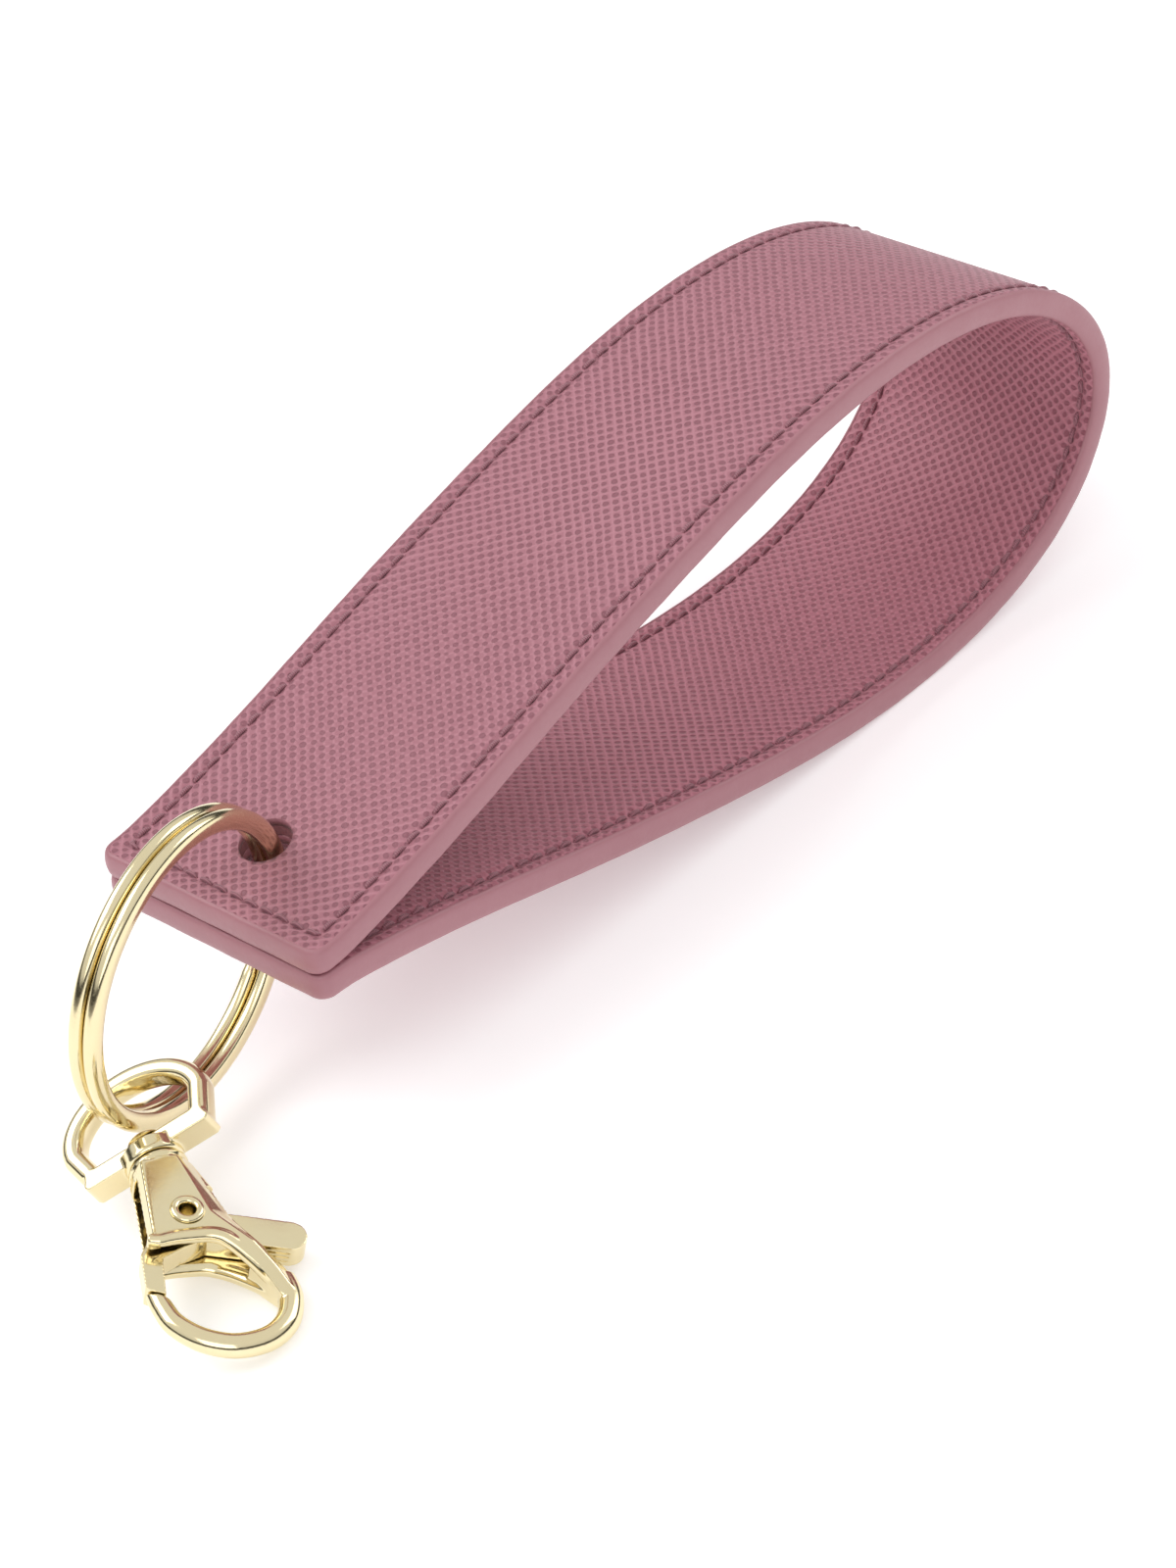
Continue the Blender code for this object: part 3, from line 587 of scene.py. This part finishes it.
def skin(name, loop, low, high, face):
    """One leather face: rounded corners, a rolled edge, a sunk stitch line, and UVs in millimetres."""
    stations = [PAINT + v for v in graded(loop.length - 2 * PAINT, 5.0, 0.25, 1.1)]
    columns = [v - EDGE for v in graded(2 * EDGE, 3.5, 0.25, 1.2)]
    shape = bmesh.new()
    uv = shape.loops.layers.uv.new("UVMap")
    flat = {}

    def grid(t, outward, detailed):
        rows = []
        for s in stations:
            from_end = min(s, loop.length - s) - PAINT
            into_corner = max(0.0, CORNER - from_end)
            cut = CORNER - math.sqrt(max(0.0, CORNER**2 - into_corner**2))
            row = []
            for y in columns:
                across = y * (EDGE - cut) / EDGE
                depth = 0.0
                if detailed:
                    depth += 0.3 * math.exp(-((row_distance(loop, s, across) / 0.5) ** 2))
                    from_edge = min(from_end, EDGE - abs(y))
                    depth += 0.12 * max(0.0, 1 - from_edge / 0.6) ** 2
                vert = shape.verts.new(loop.place(s, across, t - outward * depth))
                flat[vert] = (s, across)
                row.append(vert)
            rows.append(row)
        return rows

    top = grid(high, 1, face == "outer")
    bottom = grid(low, -1, face == "inner")
    last = len(columns) - 1
    for i in range(len(stations) - 1):
        for j in range(last):
            shape.faces.new((top[i][j], top[i + 1][j], top[i + 1][j + 1], top[i][j + 1]))
            shape.faces.new((bottom[i][j], bottom[i][j + 1], bottom[i + 1][j + 1], bottom[i + 1][j]))
        for j in (0, last):
            shape.faces.new((top[i][j], top[i + 1][j], bottom[i + 1][j], bottom[i][j]))
    for i in (0, len(stations) - 1):
        for j in range(last):
            shape.faces.new((top[i][j], top[i][j + 1], bottom[i][j + 1], bottom[i][j]))
    for made in shape.faces:
        for corner in made.loops:
            corner[uv].uv = flat[corner.vert]
    return mesh_object(name, shape, 60)


def outline(loop, side, end, radius, spacing):
    """The rounded rectangle around the strap as (s, y, outward along s, outward across), evenly spaced."""
    spots = []
    straight = loop.length - 2 * (end + radius)
    count = int(straight / spacing)
    run = [end + radius + straight * i / count for i in range(count + 1)]
    across_count = max(2, int(2 * (side - radius) / spacing))
    across = [-(side - radius) + 2 * (side - radius) * i / across_count for i in range(across_count + 1)]

    def corner(s, y, start):
        for k in range(1, 8):
            a = start + math.pi / 2 * k / 8
            spots.append((s + radius * math.cos(a), y + radius * math.sin(a), math.cos(a), math.sin(a)))

    spots += [(s, -side, 0.0, -1.0) for s in run]
    corner(loop.length - end - radius, -side + radius, -math.pi / 2)
    spots += [(loop.length - end, y, 1.0, 0.0) for y in across]
    corner(loop.length - end - radius, side - radius, 0.0)
    spots += [(s, side, 0.0, 1.0) for s in reversed(run)]
    corner(end + radius, side - radius, math.pi / 2)
    spots += [(end, y, -1.0, 0.0) for y in reversed(across)]
    corner(end + radius, -side + radius, math.pi)
    return spots


def bead(loop):
    """The painted edge: a full rounded bead around the strap, a little uneven as brushed paint is."""
    rings = []
    for s, y, along, across in outline(loop, EDGE, PAINT, CORNER, 0.9):
        ring = [loop.place(s - along * 0.25, y - across * 0.25, -HALF + 0.3)]
        wobble = 0.03 * math.sin(s * 0.9 + y) + 0.02 * math.sin(s * 2.3)
        for k in range(13):
            a = math.pi * (k / 12 - 0.5)
            out = (PAINT + wobble) * math.cos(a) ** 0.75
            reach = 0.0 if k in (0, 12) else out
            ring.append(loop.place(s + along * reach, y + across * reach, (HALF - 0.03) * math.sin(a)))
        ring.append(loop.place(s - along * 0.25, y - across * 0.25, HALF - 0.3))
        rings.append(ring)
    return mesh_object("painted_edge", skinned(rings, closed=True), 60)


def stitches(name, loop, t, outward):
    """Separate stitches along the row, each arched between the two holes that it dips into."""
    spots = outline(loop, STRAP_WIDTH / 2 - ROW_INSET, END_ROW_INSET, 0.6, 0.35)
    spots.append(spots[0])
    lengths = [0.0]
    for a, b in zip(spots, spots[1:]):
        lengths.append(lengths[-1] + math.hypot(b[0] - a[0], b[1] - a[1]))
    count = int(lengths[-1] / STITCH_PITCH)
    pitch = lengths[-1] / count
    shape = bmesh.new()
    index = 0
    sides = 8
    for n in range(count):
        rings = []
        for k in range(7):
            share = k / 6
            at = n * pitch + (pitch - STITCH_LENGTH) / 2 + STITCH_LENGTH * share
            while lengths[index + 1] < at:
                index += 1
            part = (at - lengths[index]) / (lengths[index + 1] - lengths[index])
            s, y, along, across = (a + (b - a) * part for a, b in zip(spots[index], spots[index + 1]))
            arch = math.sin(math.pi * share)
            lift = t + outward * (0.26 * arch**0.6 - 0.3)
            radius = STITCH_RADIUS * (0.6 + 0.4 * arch**0.5)
            slant = 0.12 * (share - 0.5)
            ring = []
            for q in range(sides):
                a = 2 * math.pi * q / sides
                side = radius * math.cos(a) + slant
                ring.append(loop.place(s + along * side, y + across * side, lift + radius * math.sin(a)))
            rings.append(ring)
        skinned(rings, shape=shape)
        index = max(0, index - 4)
    return mesh_object(name, shape, 60)


def build_strap(looks):
    loop = Loop()
    low, high = (Vector(corner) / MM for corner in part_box("outer_skin"))
    middle = Matrix.Translation(Vector((low.x + 0.204, (low.y + high.y) / 2, (low.z + high.z) / 2)) * MM)
    inner = HALF - SKIN
    outer_face = skin("strap_outer_face", loop, inner, HALF, "outer")
    inner_face = skin("strap_inner_face", loop, -HALF, -inner, "inner")
    for face in (outer_face, inner_face):
        punch = prism(arc((HOLE_ALONG, HOLE_SIDE), HOLE_RADIUS, 0, 2 * math.pi * 47 / 48, 48), -9, 9)
        baked(combined(face, punch, "DIFFERENCE"))
    placed(outer_face, middle, looks["outer"], "strap", "outer_skin")
    placed(inner_face, middle, looks["inner"], "strap", "inner_skin")
    placed(bead(loop), middle, looks["paint"], "strap", "edge_paint")
    placed(stitches("needle_stitches", loop, HALF, 1), middle, looks["thread"], "strap", "needle_thread")
    placed(stitches("bobbin_stitches", loop, -HALF, -1), middle, looks["thread"], "strap", "bobbin_thread")
    board = frame["nodes"]["stiffener_board"]
    board.data.materials.clear()
    board.data.materials.append(looks["board"])


# The split ring


def wire_place(angle):
    side = (RING_AXIAL + RING_GAP) / 2
    turn = 2 * math.pi
    if abs(angle - turn) > RING_STEP_HALF:
        return math.copysign(side, angle - turn)
    share = (angle - turn + RING_STEP_HALF) / (2 * RING_STEP_HALF)
    return side * (2 * (3 * share**2 - 2 * share**3) - 1)


def build_ring(looks, matrix):
    middle = RING_RADIUS - RING_RADIAL / 2
    first = RING_STEP_HALF + RING_END_GAP
    last = 4 * math.pi - first
    count = 420
    rings = []
    for i in range(count + 1):
        angle = first + (last - first) * i / count
        from_end = min(i, count - i)
        fade = min(1.0, 0.75 + 0.25 * from_end / 4)
        turn = angle + RING_STEP_ANGLE
        out = Vector((math.cos(turn), 0, math.sin(turn)))
        centre = out * middle - Vector((middle, 0, 0)) + Vector((0, wire_place(angle), 0))
        ring = []
        for k in range(24):
            a = 2 * math.pi * (k + 0.5) / 24
            radial = math.copysign(abs(math.cos(a)) ** COIL_POWER, math.cos(a)) * RING_RADIAL / 2 * fade
            axial = math.copysign(abs(math.sin(a)) ** COIL_POWER, math.sin(a)) * RING_AXIAL / 2 * fade
            ring.append(centre + out * radial + Vector((0, axial, 0)))
        rings.append(ring)
    placed(mesh_object("split_ring_wire", skinned(rings), 50), matrix, looks["gold"], "ring", "split_ring")


# Swivel eye and rivet


def build_eye(looks, matrix):
    reach = EYE_LENGTH - EYE_BAR
    half = EYE_HALF - EYE_BAR
    long = reach * 0.52
    bend = []
    for i in range(33):
        a = math.pi / 2 + math.pi * i / 32
        bend.append(Vector((-(reach - long) + long * math.cos(a), half * math.sin(a), 0)))
    foot = EYE_BASE_HALF - EYE_BAR
    path = [Vector((-0.6, foot, 0)), *bend, Vector((-0.6, -foot, 0))]
    cut = 0.4
    base = [
        (-EYE_BASE_THICK, EYE_BASE_HALF - cut),
        (-cut, EYE_BASE_HALF + 0.2),
        (0.0, EYE_BASE_HALF - 0.2),
        (0.0, -EYE_BASE_HALF + 0.2),
        (-cut, -EYE_BASE_HALF - 0.2),
        (-EYE_BASE_THICK, -EYE_BASE_HALF + cut),
    ]
    eye = mesh_object("swivel_eye_casting", rod(path, EYE_BAR * 1.06, EYE_DEPTH, 24, 0.8))
    combined(eye, prism(base, -EYE_DEPTH, EYE_DEPTH), "UNION")
    boss = [(-1.0, 0.2), (0.75, 0.2), (0.75, 2.6), (0.55, NECK_RADIUS - 0.05)]
    boss += [(0.3, NECK_RADIUS), (-1.0, NECK_RADIUS)]
    combined(eye, turned(boss), "UNION")
    combined(eye, bore(SWIVEL_BORE, -4.0, 2.0, 48), "DIFFERENCE")
    placed(cast(baked(eye)), matrix, looks["gold"], "eye", "swivel_eye")


def build_swivel_rivet(looks, matrix):
    head = -EYE_BASE_THICK - 0.08
    tail = HOUSING_START + 1.3
    angles = [math.pi / 2 * i / 10 for i in range(10, -1, -1)]
    dome = [(head - 0.8 * math.sin(a), 2.0 * math.cos(a)) for a in angles]
    profile = [*dome, (head, 1.15), (tail, 1.15), (tail, 1.5), (tail + 0.35, 1.35), (tail + 0.55, 0.0)]
    rivet = mesh_object("swivel_rivet_turned", turned(profile))
    placed(rivet, matrix, looks["gold"], "clasp", "swivel_rivet")


# Clasp body, trigger, rivet and spring


def housing():
    """The housing block, full depth at the plates and thinning down to the rod where the hook begins."""
    corner = arc(HOUSING_CORNER, HOUSING_CORNER_RADIUS, -math.pi / 2, 0, 5)
    wide = HOUSING_LEFT + corner + HOUSING_RIM + HOUSING_WALL
    narrow = PLATE_LEFT + corner + HOUSING_RIM + PLATE_RIGHT
    between = [((a[0] + b[0]) / 2, (a[1] + b[1]) / 2) for a, b in zip(wide, narrow)]
    levels = [(narrow, -HOUSING_HALF), (wide, -1.0), (wide, 1.0), (between, 1.9), (narrow, HOUSING_HALF)]
    shape = skinned([[(x, y, z) for x, y in points] for points, z in levels])
    everything = shape.verts[:] + shape.edges[:] + shape.faces[:]
    cut_at = (TAPER_START, 0, 0)
    bmesh.ops.bisect_plane(shape, geom=everything, plane_co=cut_at, plane_no=(1, 0, 0), dist=1e-6)
    thinnest = 0.95 * HOOK_ROD / HOUSING_HALF
    for vert in shape.verts:
        if vert.co.x > TAPER_START:
            share = min(1.0, (vert.co.x - TAPER_START) / (TAPER_END - TAPER_START))
            vert.co.z *= 1 - share * (1 - thinnest)
    return shape


def rim_bead(z):
    """The rolled bead along a plate's lower edge, which runs out into the hook."""
    edge = [(10.9, -4.35), (11.35, -3.4), (11.35, -2.2), (11.45, -0.8)]
    edge += [(11.9, 1.6), (13.1, 3.2), (15.4, 4.9), (17.6, 6.2)]
    path = smooth_path(edge)
    for point in path:
        share = max(0.0, (point.x - 12.2) / 5.4)
        point.z = z * (1 - 0.72 * share)
    radii = [0.52 + 0.35 * i / len(path) for i in range(len(path))]
    return tube(path, radii, 16)


def hook():
    """Round rod in an egg-shaped bend, thinning a little towards its tip."""
    path = smooth_path(HOOK_LINE, 10)
    shares = [i / (len(path) - 1) for i in range(len(path))]
    return tube(path, [HOOK_ROD * (1 - HOOK_THINNING * share**3) for share in shares], 32)


def build_clasp_body(looks, matrix):
    body = mesh_object("clasp_casting", housing())
    combined(body, turned(COLLAR), "UNION")
    combined(body, prism(POCKET, -POCKET_HALF, POCKET_HALF), "DIFFERENCE")
    baked(body)
    for z in (HOUSING_HALF - RIM_BEAD_INSET, -HOUSING_HALF + RIM_BEAD_INSET):
        combined(body, rim_bead(z), "UNION")
    rod_object = mesh_object("hook_rod", hook())
    swept = bore(GATE_REACH + GATE_CLEARANCE, -4.0, 4.0, 96, "Z")
    bmesh.ops.translate(swept, vec=PIVOT, verts=swept.verts)
    window = mesh_object("gate_window", swept)
    combined(window, prism(TIP_WINDOW, -4.2, 4.2), "INTERSECT")
    baked(window)
    cut = rod_object.modifiers.new("cut", "BOOLEAN")
    cut.operation = "DIFFERENCE"
    cut.solver = "EXACT"
    cut.object = window
    baked(rod_object)
    joined = bmesh.new()
    joined.from_mesh(rod_object.data)
    bpy.data.objects.remove(rod_object)
    combined(body, joined, "UNION")
    combined(body, bore(SWIVEL_BORE, 0.0, 3.15, 48), "DIFFERENCE")
    rivet_hole = bore(PIVOT_BORE, -4.0, 4.0, 48, "Z")
    bmesh.ops.translate(rivet_hole, vec=PIVOT, verts=rivet_hole.verts)
    combined(body, rivet_hole, "DIFFERENCE")
    placed(cast(baked(body)), matrix, looks["gold"], "clasp", "clasp_body")


def build_trigger(looks, matrix):
    along = Vector((math.cos(LEVER_ANGLE), math.sin(LEVER_ANGLE)))
    across = Vector((along.y, -along.x)) * LEVER_HALF
    end = arc(along * LEVER_LENGTH, LEVER_HALF, LEVER_ANGLE - math.pi / 2, LEVER_ANGLE + math.pi / 2, 15)
    cam = arc((0, 0), CAM_RADIUS, *CAM_ANGLES, 16)
    tip = arc((0, 0), GATE_REACH, *GATE_TIP_ANGLES, 5)
    shape_outline = [*GATE_OUTER, *tip, *GATE_INNER]
    shape_outline += [tuple(along * LEVER_ROOT + across), *end, tuple(along * LEVER_ROOT - across), *cam]
    low, high = -POCKET_HALF + 0.14, 1.08
    trigger = mesh_object("trigger_casting", prism(shape_outline, low, high))
    for k in range(3):
        inset = 0.55 * k - 0.55
        centre_z = (low + high) / 2 + inset
        groove = []
        for reach in (6.2, 10.2):
            at = along * reach + across * 1.02
            side = Vector((along.y, -along.x, 0)) * 0.14
            spot = Vector((at.x, at.y, centre_z))
            lift = Vector((0, 0, 0.1))
            groove.append([spot + side + lift, spot - side + lift, spot - side - lift, spot + side - lift])
        combined(trigger, skinned(groove), "DIFFERENCE")
    combined(trigger, bore(PIVOT_BORE, -4.0, 4.0, 48, "Z"), "DIFFERENCE")
    combined(trigger, bore(SPRING_RECESS, 0.2, 4.0, 48, "Z"), "DIFFERENCE")
    placed(cast(baked(trigger), 0.09, 4), matrix, looks["gold"], "trigger", "trigger")


def build_trigger_rivet(looks, matrix):
    """Hollow rivet with a rolled rim on each plate."""
    face = HOUSING_HALF + 0.05
    angles = [math.pi * i / 12 for i in range(13)]
    roll = [(face + 0.36 * math.sin(a), 1.2 + 0.42 * math.cos(a)) for a in angles]
    profile = [(face, 1.15), *roll[:-1], (face - 0.15, 0.74)]
    mirrored = [(-z, radius) for z, radius in reversed(profile)]
    rivet = mesh_object("trigger_rivet_rolled", turned(profile + mirrored, 64, "Z"))
    placed(rivet, matrix, looks["gold"], "clasp", "trigger_rivet")


def build_spring(looks, matrix):
    turns, steps, wire, radius = 2.25, 40, 0.17, 1.72
    count = int(turns * steps)
    path = []
    for i in range(count + 1):
        a = math.radians(250) + 2 * math.pi * turns * i / count
        path.append(Vector((radius * math.cos(a), radius * math.sin(a), 0.43 + 0.38 * turns * i / count)))
    rings = []
    for i, point in enumerate(path):
        along = (path[min(i + 1, count)] - path[max(i - 1, 0)]).normalized()
        out = Vector((point.x, point.y, 0)).normalized()
        up = along.cross(out)
        angles = [2 * math.pi * k / 12 for k in range(12)]
        rings.append([point + out * (wire * math.cos(a)) + up * (wire * math.sin(a)) for a in angles])
    spring = mesh_object("trigger_spring_wire", skinned(rings))
    placed(spring, matrix, looks["steel"], "clasp", "trigger_spring")


# Stage


def build_camera():
    """The camera, placed from the strap's box."""
    low, high = (Vector(corner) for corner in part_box("outer_skin"))
    start = Vector((low.x + 0.000204, (low.y + high.y) / 2, (low.z + high.z) / 2 - CAMERA_DROP))
    camera = bpy.data.objects.new("camera", bpy.data.cameras.new("camera"))
    bpy.context.scene.collection.objects.link(camera)
    right = Vector(CAMERA_RIGHT)
    up = Vector(CAMERA_UP)
    back = right.cross(up)
    turn = Matrix((right, up, back)).transposed().to_4x4()
    camera.matrix_world = Matrix.Translation(start + Vector(CAMERA_PLACE)) @ turn
    camera.data.lens = CAMERA_LENS
    camera.data.sensor_width = CAMERA_SENSOR
    bpy.context.scene.camera = camera


def build_floor():
    shape = bmesh.new()
    bmesh.ops.create_grid(shape, x_segments=8, y_segments=8, size=1.6)
    mesh = bpy.data.meshes.new("floor")
    shape.to_mesh(mesh)
    shape.free()
    floor = bpy.data.objects.new("floor", mesh)
    floor.location = (0, 0, -0.0001)
    floor.data.materials.append(floor_looks())
    bpy.context.scene.collection.objects.link(floor)


def build_lamps():
    for name, (place, size, power) in LAMPS.items():
        light = bpy.data.objects.new(name, bpy.data.lights.new(name, "AREA"))
        light.data.shape = "RECTANGLE"
        light.data.size, light.data.size_y = size
        light.data.energy = power
        light.location = place
        light.rotation_euler = (-Vector(place)).to_track_quat("-Z", "Y").to_euler()
        bpy.context.scene.collection.objects.link(light)


def build_world():
    """A soft studio whose brightness changes only with height."""
    world = bpy.data.worlds.new("studio")
    world.use_nodes = True
    bpy.context.scene.world = world
    tree = world.node_tree
    sky = tree.nodes["Background"]
    spot = tree.nodes.new("ShaderNodeTexCoord")
    split = tree.nodes.new("ShaderNodeSeparateXYZ")
    ramp = tree.nodes.new("ShaderNodeValToRGB")
    tree.links.new(spot.outputs["Generated"], split.inputs[0])
    tree.links.new(split.outputs["Z"], ramp.inputs[0])
    tree.links.new(ramp.outputs[0], sky.inputs["Color"])
    points = ramp.color_ramp.elements
    while len(points) < len(SKY_STOPS):
        points.new(0.5)
    for point, (at, level) in zip(points, SKY_STOPS):
        point.position = at
        point.color = (level, level, level, 1.0)
    sky.inputs["Strength"].default_value = SKY_STRENGTH
    bpy.context.scene.view_settings.view_transform = "Standard"


def build_stage():
    build_camera()
    build_floor()
    build_lamps()
    build_world()


def joint_place(name):
    joint = next(j for j in frame["record"]["behaviour"]["joints"] if j["name"] == name)
    return Matrix.Translation(Vector(joint["pos_m"]))


def main():
    looks = {
        "outer": saffiano("saffiano_outer_looks"),
        # The inner face's copy is painted lighter: painted light for the shade inside the loop
        "inner": saffiano("saffiano_inner_looks", INNER_FACE_PAINTED_LIGHT),
        "paint": edge_paint(),
        "thread": thread(),
        "board": core_board(),
        "gold": plated("gold_looks", (0.84, 0.75, 0.5), 0.09),
        "steel": plated("steel_looks", (0.6, 0.6, 0.61), 0.25),
    }
    build_stage()
    build_strap(looks)
    ring_frame = joint_place("ring_yaw") @ Euler(RING_TURN).to_matrix().to_4x4()
    build_ring(looks, ring_frame)
    clasp_frame = joint_place("clasp_swivel") @ Euler(CLASP_TURN).to_matrix().to_4x4()
    build_eye(looks, clasp_frame @ Matrix.Rotation(EYE_ROLL, 4, "X"))
    build_swivel_rivet(looks, clasp_frame)
    build_clasp_body(looks, clasp_frame)
    pivot_frame = clasp_frame @ Matrix.Translation(PIVOT * MM)
    build_trigger(looks, pivot_frame)
    build_trigger_rivet(looks, pivot_frame)
    build_spring(looks, pivot_frame)


main()
